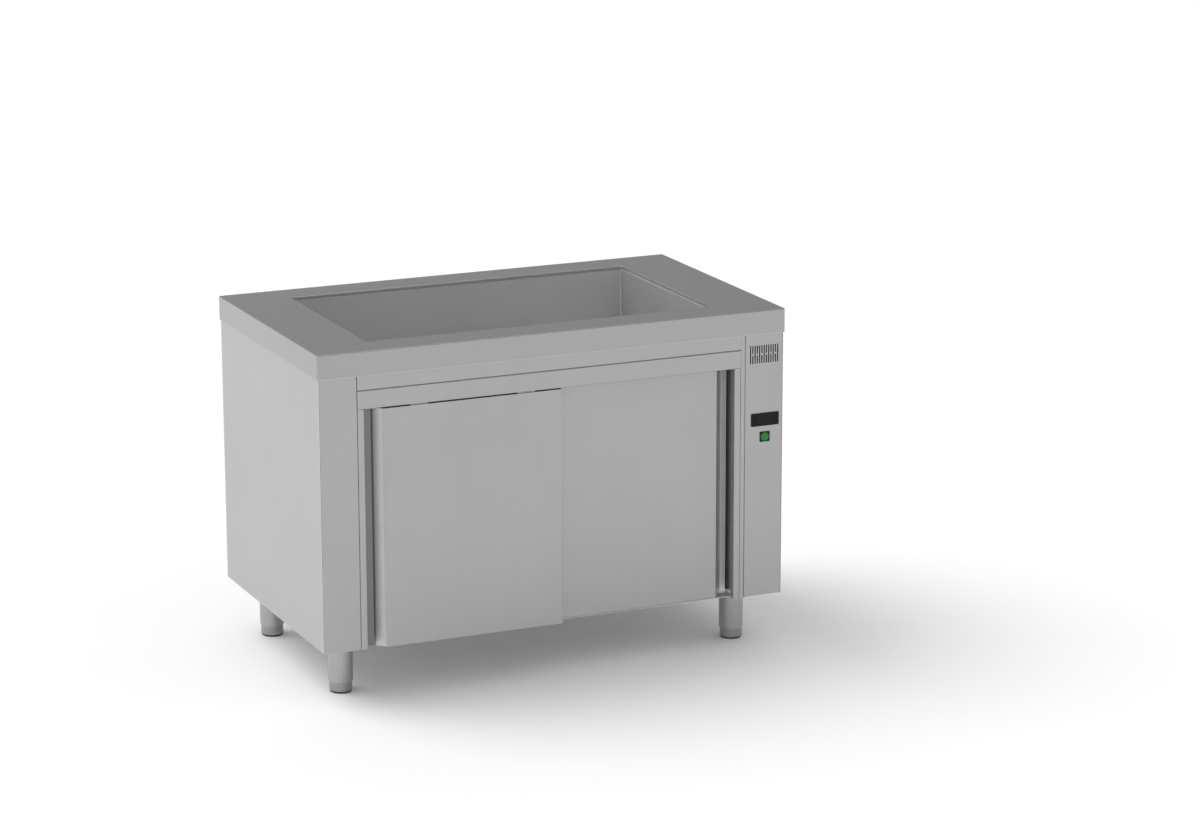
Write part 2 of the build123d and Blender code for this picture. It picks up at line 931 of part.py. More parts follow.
def track_lane_section(lane):
    """Section of one lane: the wall, the shelf and the upright edge that the rollers ride on."""
    middle = lane_y(lane)
    ceiling = head_rail_top - panel_sheet - seat_gap
    wall_start = middle + lane_wall_offset
    rail_top = roller_height - roller_radius + roller_groove
    shelf = rail_top - rail_lip
    wall = Pos(wall_start + track_wall / 2, (shelf + ceiling) / 2) * Rectangle(
        track_wall, ceiling - shelf
    )
    floor = Pos((middle - rail_thickness / 2 + wall_start) / 2, shelf + track_web / 2) * Rectangle(
        wall_start - middle + rail_thickness / 2, track_web
    )
    edge = Pos(middle, (shelf + rail_top) / 2) * Rectangle(rail_thickness, rail_top - shelf)
    return wall + floor + edge


def make_upper_track():
    """Double aluminium track: one web under the shelf and a lane for each door."""
    ceiling = head_rail_top - panel_sheet - seat_gap
    start = body_front + panel_sheet + 1
    end = lane_y(1) + lane_wall_offset + track_wall
    web = Pos((start + end) / 2, ceiling - track_web / 2) * Rectangle(end - start, track_web)
    section = web + track_lane_section(0) + track_lane_section(1)
    return along_x(section, (left_wall + panel_sheet + 2, right_wall - panel_sheet - 2))


def door_face_y(lane):
    """Front plane of a door."""
    return body_front + lane * door_pitch


def door_foot(lane):
    """Lowest edge of a door: the left one hangs in front of the step, the right one over it."""
    return door_bottom if lane == 0 else floor_step_height + door_clearance_over_step


def make_door_skin(lane):
    """Front of a door with its finger pull: the outer edge is folded back to a lip behind the stile."""
    front = door_face_y(lane)
    left, right = left_door_face() if lane == 0 else right_door_face()
    out = -1 if lane == 0 else 1
    outer_edge, inner_edge = (left, right) if lane == 0 else (right, left)
    stile = left_stile_edge if lane == 0 else right_stile_edge
    line = [
        (stile + out * lip_overlap, front + pull_depth),
        (outer_edge + out * pull_run, front + pull_depth),
        (outer_edge, front),
        (inner_edge, front),
        (inner_edge, front + door_thickness),
        (inner_edge + out * door_rear_fold, front + door_thickness),
    ]
    skin = along_z(sheet_section(line, -out * door_sheet), (door_foot(lane), door_top))
    if lane == 0:
        rear = sorted((inner_edge - door_sheet, inner_edge - door_rear_fold - 1))
        skin -= block(
            rear,
            (front + 2 * door_sheet, front + door_thickness + 1),
            (door_foot(lane) - 1, floor_step_height + door_clearance_over_step),
        )
    return skin


def liner_span(lane):
    """Left and right end of a door's inner skin."""
    left, right = left_door_face() if lane == 0 else right_door_face()
    slope = pull_run / pull_depth * (door_thickness - door_sheet)
    if lane == 0:
        return left - slope + 3 * door_sheet, right - door_sheet - bend_radius - liner_gap
    return left + door_sheet + bend_radius + liner_gap, right + slope - 3 * door_sheet


def make_door_liner(lane):
    """Inner skin of a door, folded forward along its top."""
    front = door_face_y(lane)
    back = front + door_thickness - door_sheet - liner_gap
    line = [
        (back, floor_step_height + door_clearance_over_step),
        (back, door_top - liner_top_gap),
        (front + door_sheet + liner_flange_gap + bend_radius, door_top - liner_top_gap),
    ]
    start, end = liner_span(lane)
    skin = along_x(sheet_section(line, door_sheet), (start, end))
    left, right = left_door_face() if lane == 0 else right_door_face()
    clipped = (start, left + 2 * door_sheet) if lane == 0 else (right - 2 * door_sheet, end)
    flange_z = (door_top - liner_flange_depth, door_top)
    skin -= block(clipped, (front, back - 1.5 * door_sheet), flange_z)
    half = hanger_width / 2 + hanger_neck_gap
    slot_y = lane_y(lane) - roller_width / 2 - hanger_gap
    slot = (slot_y - hanger_sheet - hanger_neck_gap / 2, slot_y + hanger_neck_gap / 2)
    for x in roller_places(lane):
        skin -= block((x - half, x + half), slot, flange_z)
    return skin


def roller_places(lane):
    """Where the two hangers of a door stand on X."""
    left, right = left_door_face() if lane == 0 else right_door_face()
    return left + hanger_inset, right - hanger_inset


def make_door_hangers(lane):
    """Two plates on the inner skin, each with the fixed axle of a roller."""
    back = lane_y(lane) - roller_width / 2 - hanger_gap
    front = back - hanger_sheet
    liner_face = door_face_y(lane) + door_thickness - 2 * door_sheet - liner_gap
    plates = []
    for x in roller_places(lane):
        upright = block(
            (x - hanger_width / 2, x + hanger_width / 2),
            (front, back),
            (door_top - hanger_drop, roller_height + hanger_head_rise),
        )
        upright = chamfer(
            upright.edges().filter_by(Axis.Y).group_by(Axis.Z)[-1], hanger_head_chamfer
        )
        spacer = block(
            (x - hanger_width / 2, x + hanger_width / 2),
            (back, liner_face),
            (door_top - hanger_drop, door_top - hanger_spacer_drop),
        )
        axle = cross_rod(
            roller_axle_radius, x, (front, back + hanger_gap + roller_width + axle_end), roller_height
        )
        plates.append(upright + spacer + axle)
    return Compound(plates)


def make_roller(lane, x):
    """Grooved nylon roller that rides on the upright edge of the track."""
    bore = roller_axle_radius + moving_gap / 3
    half = roller_width / 2
    groove = rail_thickness / 2 + moving_gap
    tread = roller_radius - roller_groove
    outline = Polyline(
        (bore, -half),
        (roller_radius, -half),
        (roller_radius, -groove),
        (tread - moving_gap, -groove),
        (tread - moving_gap, groove),
        (roller_radius, groove),
        (roller_radius, half),
        (bore, half),
        close=True,
    )
    wheel = revolve(make_face(outline), Axis.Y)
    return Pos(x, lane_y(lane), roller_height) * wheel


def make_door_guides():
    """Two nylon blocks on the step, one inside the foot of each door."""
    guides = []
    for lane, span in enumerate((left_guide_span(), right_guide_span())):
        front = door_face_y(lane) + door_sheet
        back = door_face_y(lane) + door_thickness - 2 * door_sheet - liner_gap
        shoe = block(
            span,
            (front + guide_play, back - guide_play),
            (floor_step_height, floor_step_height + guide_height),
        )
        guides.append(chamfer(shoe.edges().filter_by(Axis.X).group_by(Axis.Z)[-1], guide_edge))
    return Compound(guides)


def make_controller_front():
    """Bezel of the controller, with the window of its display and the strip of its keys."""
    face = body_front - controller_proud
    frame = Pos(controller_middle_x, controller_middle_z) * RectangleRounded(
        controller_width, controller_height, controller_corner
    )
    bezel = along_y(frame, (face, body_front))
    bezel = chamfer(bezel.faces().sort_by(Axis.Y)[0].edges(), controller_chamfer)
    bezel -= along_y(controller_window(0), (face - 1, face + controller_window_depth))
    left_edge = controller_middle_x - controller_width / 2
    strip_x = left_edge + controller_key_inset + controller_key_strip / 2
    strip = Pos(strip_x, controller_middle_z) * RectangleRounded(
        controller_key_strip, controller_key_height, controller_window_corner
    )
    return bezel - along_y(strip, (face - 1, face + controller_key_depth))


def controller_window(margin):
    """Outline of the controller's display window."""
    place = Pos(controller_middle_x + controller_window_shift, controller_middle_z)
    return place * RectangleRounded(
        controller_window_width - 2 * margin,
        controller_window_height - 2 * margin,
        controller_window_corner,
    )


def make_controller_display():
    """Dark lens in the window."""
    face = body_front - controller_proud
    return along_y(
        controller_window(seat_gap), (face + controller_lens_sink, face + controller_window_depth)
    )


def make_controller_case():
    """Case of the controller behind the panel, with the steps of its side clips."""
    margin = 2 * cutout_margin + 2 * seat_gap
    width, height = controller_width - margin, controller_height - margin
    place = Pos(controller_middle_x, controller_middle_z)
    case = along_y(
        place * Rectangle(width, height), (body_front, body_front + controller_case_depth)
    )
    clip = place * Rectangle(width + 2 * controller_clip_reach, controller_clip_height)
    near = body_front + panel_sheet + seat_gap
    return case + along_y(clip, (near, near + controller_clip_depth))


def make_switch_housing():
    """Square bezel and body of the switch, bored for its button."""
    margin = 2 * cutout_margin + 2 * seat_gap
    face = body_front - switch_bezel_proud
    place = Pos(switch_middle_x, switch_middle_z)
    outline = RectangleRounded(switch_width, switch_height, switch_corner)
    bezel = along_y(place * outline, (face, body_front))
    bezel = chamfer(bezel.faces().sort_by(Axis.Y)[0].edges(), switch_chamfer)
    body = along_y(
        place * Rectangle(switch_width - margin, switch_height - margin),
        (body_front, body_front + switch_body_depth),
    )
    bore = along_y(
        place * Circle(switch_button_radius + moving_gap), (face - 1, body_front + switch_bore_depth)
    )
    return bezel + body - bore


def make_switch_button():
    """Round lens of the switch with its domed face and hollow back."""
    rim = switch_button_radius
    inner = rim - switch_lens_wall
    top = -switch_button_proud
    edge = top + switch_dome_rise
    profile = make_face(
        [
            ThreePointArc((0, top), (rim / 2, top + switch_dome_rise / 4), (rim, edge)),
            Line((rim, edge), (rim, switch_skirt)),
            Line((rim, switch_skirt), (inner, switch_skirt)),
            Line((inner, switch_skirt), (inner, switch_lens_wall)),
            Line((inner, switch_lens_wall), (0, switch_lens_wall)),
            Line((0, switch_lens_wall), (0, top)),
        ]
    )
    lens = revolve(profile, Axis.Y)
    return Pos(switch_middle_x, body_front, switch_middle_z) * lens


def make_switch_lamp():
    """Lamp inside the switch, behind the lens."""
    front = body_front + switch_lens_wall + switch_travel + 1
    back = body_front + switch_bore_depth
    return cross_rod(switch_lamp_radius, switch_middle_x, (front, back), switch_middle_z)


def make_mounting_rail():
    """Hat rail on the wall of the control bay."""
    low, high = rail_middle_z - rail_height / 2, rail_middle_z + rail_height / 2
    floor = bay_wall_face + rail_sheet
    line = [
        (bay_wall_face + rail_depth, low),
        (bay_wall_face + rail_depth, low + rail_brim),
        (floor, low + rail_brim),
        (floor, high - rail_brim),
        (bay_wall_face + rail_depth, high - rail_brim),
        (bay_wall_face + rail_depth, high),
    ]
    return along_y(sheet_section(line, rail_sheet, tight_bend), rail_y)


def make_power_relay():
    """Power relay on the rail, with stepped ends for its terminals."""
    depth, width, height = relay_size
    near = bay_wall_face + rail_depth + seat_gap
    shoulder = near + relay_base_depth
    y = (relay_y - width / 2, relay_y + width / 2)
    relay = block(
        (near, shoulder), y, (rail_middle_z - height / 2, rail_middle_z + height / 2)
    )
    relay += block(
        (near, near + depth),
        y,
        (rail_middle_z - relay_head_height / 2, rail_middle_z + relay_head_height / 2),
    )
    for column in (-1, 0, 1):
        for end in (-1, 1):
            place = Pos(
                shoulder, relay_y + column * relay_screw_pitch, rail_middle_z + end * relay_screw_rise
            )
            hole = Cylinder(relay_screw_radius, 2 * relay_screw_depth)
            relay -= place * Rot(0, 90, 0) * hole
    return relay


def make_terminal_block():
    """Row of terminals on the rail."""
    depth, height = terminal_size
    shoulder_depth, shoulder_rise = terminal_shoulder
    near = bay_wall_face + rail_depth + seat_gap
    outline = [
        (near, rail_middle_z - height / 2),
        (near + shoulder_depth, rail_middle_z - height / 2),
        (near + depth, rail_middle_z - shoulder_rise),
        (near + depth, rail_middle_z + shoulder_rise),
        (near + shoulder_depth, rail_middle_z + height / 2),
        (near, rail_middle_z + height / 2),
    ]
    section = make_face(Polyline(*outline, close=True))
    modules = []
    for count in range(terminal_count):
        y = terminal_start_y + count * terminal_pitch
        modules.append(along_y(section, (y, y + terminal_pitch - seat_gap)))
    return Compound(modules)


def make_cable_gland():
    """Gland of the mains cable, down through the base under the control bay."""
    underside = base_height - panel_sheet
    collar_bottom = underside - gland_collar_height
    dome_bottom = collar_bottom - gland_dome_height
    top = base_height + gland_thread_rise
    hexagon = Pos(gland_x, gland_y) * RegularPolygon(gland_hex_radius, 6)
    thread = rod(gland_thread_radius, gland_x, gland_y, (underside - 1, top))
    collar = along_z(hexagon, (collar_bottom, underside))
    dome = Pos(gland_x, gland_y, (dome_bottom + collar_bottom) / 2) * Cone(
        *gland_dome_radii, gland_dome_height
    )
    nut = along_z(hexagon, (base_height, base_height + gland_nut_height))
    bore = rod(gland_bore_radius, gland_x, gland_y, (dome_bottom - 1, top + 1))
    return thread + collar + dome + nut - bore


def make_leg_plates():
    """Top plates of the legs with the spigots that the sleeves fit over."""
    top = base_height - panel_sheet
    low = top - leg_plate_thickness
    spigot_radius = sleeve_radius - sleeve_wall - seat_gap
    plates = []
    for x, y in leg_places.values():
        plate = along_z(
            Pos(x, y) * RectangleRounded(leg_plate_size, leg_plate_size, leg_plate_corner), (low, top)
        )
        plate += rod(spigot_radius, x, y, (low - leg_spigot, low))
        plate -= rod(spigot_radius - spigot_wall, x, y, (low - leg_spigot, low))
        plates.append(plate)
    return Compound(plates)


def make_leg_sleeves():
    """Round tubes of the legs."""
    top = base_height - panel_sheet - leg_plate_thickness - seat_gap
    sleeves = []
    for x, y in leg_places.values():
        sleeve = rod(sleeve_radius, x, y, (sleeve_bottom, top))
        sleeves.append(sleeve - rod(sleeve_radius - sleeve_wall, x, y, (sleeve_bottom, top)))
    return Compound(sleeves)


def make_leg_inserts():
    """Threaded inserts pressed into the sleeves, for the stems of the feet."""
    radius = sleeve_radius - sleeve_wall - seat_gap / 2
    span = (insert_bottom, insert_bottom + insert_height)
    inserts = []
    for x, y in leg_places.values():
        inserts.append(rod(radius, x, y, span) - rod(stem_radius + moving_gap, x, y, span))
    return Compound(inserts)


def make_foot(x, y):
    """Adjustable foot: a cup that slides into the sleeve, on a threaded stem."""
    cup = rod(foot_radius, x, y, (pad_height, foot_top))
    cup = chamfer(cup.edges().sort_by(Axis.Z)[0], foot_edge)
    cup -= rod(foot_radius - foot_wall, x, y, (pad_height + foot_floor, foot_top))
    stem = rod(stem_radius, x, y, (pad_height + foot_floor, stem_top))
    return cup + stem


def make_pad(x, y):
    """Round pad under a foot."""
    pad = rod(pad_radius, x, y, (0, pad_height))
    return chamfer(pad.edges().sort_by(Axis.Z)[0], pad_height / 4)


nodes = {
    "worktop": make_worktop(),
    "top_stiffeners": make_top_stiffeners(),
    "well_pan": make_well_pan(),
    "well_insulation": make_insulation(),
    "well_casing": make_well_casing(),
    "heating_element": make_heating_element(),
    "element_clamps": make_element_clamps(),
    "drain_socket": make_drain_socket(),
    "drain_strainer": make_drain_strainer(),
    "drain_valve_body": make_drain_valve_body(),
    "drain_valve_ball": make_drain_valve_ball(),
    "drain_valve_lever": make_drain_valve_lever(),
    "drain_pipe": make_drain_pipe(),
    "left_side_panel": make_side_panel(-1),
    "right_side_panel": make_side_panel(1),
    "back_panel": make_back_panel(),
    "base_deck": make_base_deck(),
    "left_inner_wall": make_inner_wall(-1),
    "right_inner_wall": make_inner_wall(1),
    "left_front_post": make_left_front_post(),
    "left_stile": make_stile(-1),
    "right_stile": make_stile(1),
    "control_column": make_control_column(),
    "control_panel": make_control_panel(),
    "front_fascia": make_front_fascia(),
    "door_head_rail": make_door_head_rail(),
    "upper_track": make_upper_track(),
    "door_guides": make_door_guides(),
    "controller_case": make_controller_case(),
    "controller_front": make_controller_front(),
    "controller_display": make_controller_display(),
    "switch_housing": make_switch_housing(),
    "switch_button": make_switch_button(),
    "switch_lamp": make_switch_lamp(),
    "mounting_rail": make_mounting_rail(),
    "power_relay": make_power_relay(),
    "terminal_block": make_terminal_block(),
    "cable_gland": make_cable_gland(),
    "leg_plates": make_leg_plates(),
    "leg_sleeves": make_leg_sleeves(),
    "leg_inserts": make_leg_inserts(),
}
for lane, door in enumerate(("left_door", "right_door")):
    nodes[f"{door}_skin"] = make_door_skin(lane)
    nodes[f"{door}_liner"] = make_door_liner(lane)
    nodes[f"{door}_hangers"] = make_door_hangers(lane)
    for number, x in enumerate(roller_places(lane), start=1):
        nodes[f"{door}_roller_{number}"] = make_roller(lane, x)
for corner, (x, y) in leg_places.items():
    nodes[f"foot_{corner}"] = make_foot(x, y)
    nodes[f"pad_{corner}"] = make_pad(x, y)

for name, solid in nodes.items():
    export_step(solid, f"parts/{name}.step")
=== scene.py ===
# %% [markdown]
# # A bain-marie counter in stainless sheet
# The object is a steel cabinet with a water well sunk in its top, two sliding doors, a control
# panel and four legs. The folded sheets, the well, the doors and the feet are solids of a CAD
# model, which this script loads as a fixed frame. Blender adds what the CAD leaves out: the
# finish of every metal and plastic, the small fasteners, the light, the floor and the camera.

# %% Load the frame
import json
import math

import bpy
from mathutils import Euler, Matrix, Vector


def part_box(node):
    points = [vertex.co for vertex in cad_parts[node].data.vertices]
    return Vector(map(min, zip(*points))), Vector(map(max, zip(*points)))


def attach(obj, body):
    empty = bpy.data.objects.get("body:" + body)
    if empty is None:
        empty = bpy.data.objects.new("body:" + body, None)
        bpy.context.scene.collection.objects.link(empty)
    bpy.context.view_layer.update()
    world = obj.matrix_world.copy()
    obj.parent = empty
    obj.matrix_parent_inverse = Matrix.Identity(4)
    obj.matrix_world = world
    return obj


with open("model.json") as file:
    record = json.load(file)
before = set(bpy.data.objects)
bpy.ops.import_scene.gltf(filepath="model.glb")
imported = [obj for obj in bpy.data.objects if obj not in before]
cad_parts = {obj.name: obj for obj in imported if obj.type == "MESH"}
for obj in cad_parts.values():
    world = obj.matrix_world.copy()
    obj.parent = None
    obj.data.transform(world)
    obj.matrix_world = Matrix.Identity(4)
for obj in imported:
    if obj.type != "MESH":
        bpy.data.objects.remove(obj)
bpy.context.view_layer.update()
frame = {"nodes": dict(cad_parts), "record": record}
nodes = frame["nodes"]

# %% [markdown]
# ## The camera
# The photograph looks down on the counter from the front and a little from the left, through a
# long lens, so its upright edges stay nearly parallel. The camera could be placed by eye, but its
# place, its angles and its lens were solved from the edges of the cabinet, so they are written
# here as plain numbers. A long lens far away gives the same flat perspective.

# %% Set the camera
camera_place = Vector((-3.4495, -8.2927, 2.8532))
camera_azimuth = math.radians(-24.138)
camera_elevation = math.radians(14.354)
camera_roll = math.radians(-0.098)
lens_mm = 113.45
sensor_mm = 36.0
far_clip = 200.0

camera_data = bpy.data.cameras.new("camera")
camera_data.lens = lens_mm
camera_data.sensor_width = sensor_mm
camera_data.clip_end = far_clip
camera = bpy.data.objects.new("camera", camera_data)
bpy.context.scene.collection.objects.link(camera)
look = Vector(
    (
        -math.sin(camera_azimuth) * math.cos(camera_elevation),
        math.cos(camera_azimuth) * math.cos(camera_elevation),
        -math.sin(camera_elevation),
    )
)
turn = look.to_track_quat("-Z", "Y").to_matrix()
camera.rotation_euler = (turn @ Euler((0, 0, camera_roll)).to_matrix()).to_euler()
camera.location = camera_place
bpy.context.scene.camera = camera
print("camera looks along", [round(v, 3) for v in look])

# %% [markdown]
# ## Node trees
# Every finish below is a small node tree. A tree can be drawn by hand in the Shader editor, but
# two short helpers make it as quick to write: one adds a node and sets its inputs by name, and
# the other starts a material with an empty tree and a Principled shader.


# %% Helpers for node trees
def add_node(tree, kind, **values):
    """Adds a node. A keyword sets an input of that name, with spaces for underscores."""
    made = tree.nodes.new(kind)
    for name, value in values.items():
        made.inputs[name.replace("_", " ")].default_value = value
    return made


def start_material(name):
    """A new material with a Principled shader on its output."""
    material = bpy.data.materials.new(name)
    material.use_nodes = True
    tree = material.node_tree
    tree.nodes.clear()
    shader = tree.nodes.new("ShaderNodeBsdfPrincipled")
    output = tree.nodes.new("ShaderNodeOutputMaterial")
    tree.links.new(shader.outputs["BSDF"], output.inputs["Surface"])
    return material, tree, shader


print("tree helpers ready")

# %% [markdown]
# ### Noise, ranges and mixtures
# Almost every finish here is a noise that is mapped onto a range, mixes two colours or lifts the
# surface a little. The noise reads Object coordinates, so that it has the same size in metres on
# every piece and stays where it is on a piece that moves.


# %% Helpers for noise
def noise_on_object(tree, scale, size=1.0, detail=3.0, roughness=0.5):
    """Noise on Object coordinates, stretched by a scale for each axis."""
    place = tree.nodes.new("ShaderNodeTexCoord")
    mapping = add_node(tree, "ShaderNodeMapping", Scale=scale)
    noise = add_node(
        tree, "ShaderNodeTexNoise", Scale=size, Detail=detail, Roughness=roughness
    )
    tree.links.new(place.outputs["Object"], mapping.inputs["Vector"])
    tree.links.new(mapping.outputs["Vector"], noise.inputs["Vector"])
    return noise.outputs["Fac"]


def spread(tree, value, low, high, start=0.3, end=0.7):
    """Maps a value, such as a noise, onto a range."""
    remap = add_node(
        tree, "ShaderNodeMapRange", From_Min=start, From_Max=end, To_Min=low, To_Max=high
    )
    tree.links.new(value, remap.inputs["Value"])
    return remap.outputs["Result"]


def mix_colours(tree, factor, first, second):
    """Mixes two colours by a factor. A colour is a tuple or an output of another node."""
    mix = tree.nodes.new("ShaderNodeMix")
    mix.data_type = "RGBA"
    tree.links.new(factor, mix.inputs["Factor"])
    for name, colour in (("A", first), ("B", second)):
        socket = next(s for s in mix.inputs if s.name == name and s.type == "RGBA")
        if isinstance(colour, tuple):
            socket.default_value = (*colour, 1.0)
        else:
            tree.links.new(colour, socket)
    return next(s for s in mix.outputs if s.type == "RGBA")


def add_bump(tree, shader, height, depth, strength=1.0):
    """Gives a shader the relief of a height in metres."""
    bump = add_node(tree, "ShaderNodeBump", Strength=strength, Distance=depth)
    tree.links.new(height, bump.inputs["Height"])
    tree.links.new(bump.outputs["Normal"], shader.inputs["Normal"])


print("noise helpers ready")

# %% [markdown]
# ## Floor, air and light
# The counter stands on a white studio floor that runs into a white background. A curved paper
# backdrop would do the same, but one large plane and a white world are simpler and look alike
# from every side. The white of the paper is the colour of the plane, which takes the shadow of
# the counter, and a faint noise keeps it from being a perfectly even white.

# %% Make the floor
floor_half = 60.0
floor_white = (0.97, 0.97, 0.97)
floor_worn = tuple(v * 0.995 for v in floor_white)
floor_roughness = 0.9

floor_mesh = bpy.data.meshes.new("floor")
corners = [(-floor_half, -floor_half, 0), (floor_half, -floor_half, 0)]
corners += [(floor_half, floor_half, 0), (-floor_half, floor_half, 0)]
floor_mesh.from_pydata(corners, [], [(0, 1, 2, 3)])
floor = bpy.data.objects.new("floor", floor_mesh)
bpy.context.scene.collection.objects.link(floor)
floor_paint, tree, shader = start_material("white studio floor")
shade = noise_on_object(tree, (1, 1, 1), size=2.0)
colour = mix_colours(tree, shade, floor_white, floor_worn)
tree.links.new(colour, shader.inputs["Base Color"])
shader.inputs["Roughness"].default_value = floor_roughness
shader.inputs["Specular IOR Level"].default_value = 0.0
floor_mesh.materials.append(floor_paint)
print("floor half width:", floor_half, "m")

# %% [markdown]
# ### The white room
# One shader tree gives the world three faces: white where the camera sees it, even and dimmer
# where it lights the scene, and shaded where steel mirrors it. The mirrored room is white at the
# horizon and dim at the ceiling, as a studio is, because the flat top of the counter mirrors that
# ceiling. It is darker on the right, and a small bright patch straight overhead glints on the
# folded edges. Height and side are the Z and X of the direction of a ray, so each of these ramps
# is one Map Range node.

# %% Make the world
air_light = 0.7
ceiling_shade = 0.22
ceiling_height = 0.42
overhead_light = 2.4
overhead_start = 0.84
overhead_full = 0.97
bright_side = 1.08
dim_side = 0.5
side_start = -0.2
side_end = 0.58


def join_values(tree, operation, first, second):
    """Adds a Math node on two outputs and returns its result."""
    made = tree.nodes.new("ShaderNodeMath")
    made.operation = operation
    tree.links.new(first, made.inputs[0])
    tree.links.new(second, made.inputs[1])
    return made.outputs[0]


world = bpy.data.worlds.new("studio")
bpy.context.scene.world = world
world.use_nodes = True
tree = world.node_tree
tree.nodes.clear()
ray = tree.nodes.new("ShaderNodeLightPath")
place = tree.nodes.new("ShaderNodeTexCoord")
axes = tree.nodes.new("ShaderNodeSeparateXYZ")
tree.links.new(place.outputs["Generated"], axes.inputs["Vector"])
height = spread(tree, axes.outputs["Z"], 1.0, ceiling_shade, start=0.0, end=ceiling_height)
overhead = spread(
    tree, axes.outputs["Z"], 0.0, overhead_light, start=overhead_start, end=overhead_full
)
side = spread(tree, axes.outputs["X"], bright_side, dim_side, start=side_start, end=side_end)
level = join_values(tree, "MULTIPLY", height, side)
total = join_values(tree, "ADD", level, overhead)
mirrored = join_values(
    tree, "MAXIMUM", ray.outputs["Is Glossy Ray"], ray.outputs["Is Transmission Ray"]
)
air = add_node(tree, "ShaderNodeBackground", Strength=air_light)
seen = add_node(tree, "ShaderNodeBackground", Strength=1.0)
reflected = tree.nodes.new("ShaderNodeBackground")
tree.links.new(total, reflected.inputs["Strength"])
for background in (air, seen, reflected):
    background.inputs["Color"].default_value = (1, 1, 1, 1)
first_mix = tree.nodes.new("ShaderNodeMixShader")
second_mix = tree.nodes.new("ShaderNodeMixShader")
tree.links.new(mirrored, first_mix.inputs[0])
tree.links.new(air.outputs[0], first_mix.inputs[1])
tree.links.new(reflected.outputs[0], first_mix.inputs[2])
tree.links.new(ray.outputs["Is Camera Ray"], second_mix.inputs[0])
tree.links.new(first_mix.outputs[0], second_mix.inputs[1])
tree.links.new(seen.outputs[0], second_mix.inputs[2])
world_output = tree.nodes.new("ShaderNodeOutputWorld")
tree.links.new(second_mix.outputs[0], world_output.inputs["Surface"])
print("world lit at", air_light, "and mirrored from", dim_side, "to", bright_side)

# %% [markdown]
# ### The key light
# The key light stands high on the left and a little behind the counter, so the shadow falls to
# the right and forward. An area lamp would do, but a sun gives parallel light that needs no
# distance. Its angle is the width of the sun in the sky: at half a degree the shadow would be
# sharp, and at 44 degrees it is as soft as that of a large studio lamp.

# %% Make the sun
sun_strength = 1.5
sun_angle = math.radians(44)
sun_direction = Vector((-0.5, 0.36, 0.79)).normalized()

sun_data = bpy.data.lights.new("key sun", "SUN")
sun_data.energy = sun_strength
sun_data.angle = sun_angle
sun = bpy.data.objects.new("key sun", sun_data)
sun.rotation_euler = sun_direction.to_track_quat("Z", "Y").to_euler()
bpy.context.scene.collection.objects.link(sun)
bpy.context.scene.view_settings.view_transform = "Standard"
print("sun from", [round(v, 2) for v in sun_direction])

# %% [markdown]
# ## Sheet steel
# Every fold of the counter has a bright line along it. Hands and cloths polish an edge first, so the
# roughness drops there, and on top of that a painted highlight lightens the colour along the edge.
# The line could be painted by hand, but a Bevel node finds the edges by itself: it rounds the normal
# near an edge, and there the rounded normal and the real one no longer agree.


# %% Polished edges
edge_samples = 8
agree_when_flat = 0.998
agree_at_edge = 0.86


# This mask smooths the roughness of an edge and, in steel_finish, paints a highlight into its
# colour.
def edge_polish_and_highlight_mask(tree, radius):
    """0 on a flat face, rising towards 1 close to an edge."""
    rounded = add_node(tree, "ShaderNodeBevel", Radius=radius)
    rounded.samples = edge_samples
    surface = tree.nodes.new("ShaderNodeNewGeometry")
    product = tree.nodes.new("ShaderNodeVectorMath")
    product.operation = "DOT_PRODUCT"
    tree.links.new(rounded.outputs["Normal"], product.inputs[0])
    tree.links.new(surface.outputs["Normal"], product.inputs[1])
    agreement = product.outputs["Value"]
    return spread(tree, agreement, 0.0, 1.0, start=agree_when_flat, end=agree_at_edge)


# Worn edges here are the edge band: real polish in the roughness and a painted highlight in the
# colour.
print("edges count as worn below an agreement of", agree_when_flat)

# %% [markdown]
# ### Folded finger pulls
# The edge of each door is folded back into a slanted return and a lip, which stand in the shade of
# the door and mirror other parts of the room than its face does. That shade and reflection are
# painted into their colour: the fold lies behind the plane of the face, so the Y of Object
# coordinates tells the three apart, and the return and the lip each get a grey, a dark one as
# painted shade and a light one as painted reflection.


# %% Greys of a finger pull
return_start = 0.002
return_full = 0.005
lip_depth = 0.023
lip_ramp = 0.003


def paint_pull_shade_and_reflection(tree, colour, face, painted_return_grey, painted_lip_grey):
    """Behind the plane Y = face, paints the shade and reflection of the return and the lip of a pull
    as greys.
    """
    place = tree.nodes.new("ShaderNodeTexCoord")
    axes = tree.nodes.new("ShaderNodeSeparateXYZ")
    tree.links.new(place.outputs["Object"], axes.inputs["Vector"])
    depth = axes.outputs["Y"]
    lip = face + lip_depth
    behind = spread(tree, depth, 0.0, 1.0, start=face + return_start, end=face + return_full)
    deep = spread(tree, depth, 0.0, 1.0, start=lip - lip_ramp, end=lip)
    folded = mix_colours(tree, deep, (painted_return_grey,) * 3, (painted_lip_grey,) * 3)
    return mix_colours(tree, behind, colour, folded)


print("the lip of a finger pull starts", lip_depth, "m behind the face")

# %% [markdown]
# ### Ground finish
# Stainless sheet comes from the mill with a fine ground finish: thousands of hair lines that all
# run one way. One could draw them in an image, but stretched noise makes them at any size. Three
# noises are laid over each other: the hair lines, broad faint bands along the same way, and
# cloudy smears left by hands and cloths. Lines and bands change the colour by a few hundredths,
# lines and smears the roughness, and the lines alone give the relief. The scales are per metre,
# fine across the lines and coarse along them.


# %% Steel finish
along_x, along_y, along_z = 0, 1, 2
hairs_across = 1400.0
hairs_along = 6.0
bands_across = 70.0
bands_along = 1.3
smears_per_metre = 3.0
hair_darkening = 0.05
hair_roughness = 0.03
hair_relief = 0.00004
hair_strength = 0.35
band_share = 0.3
band_brightening = 1.03
smear_smoother = 0.03
smear_rougher = 0.04
# Painted highlight: the colour along every edge is lightened by this factor.
painted_edge_highlight = 1.9
edge_roughness = 0.2


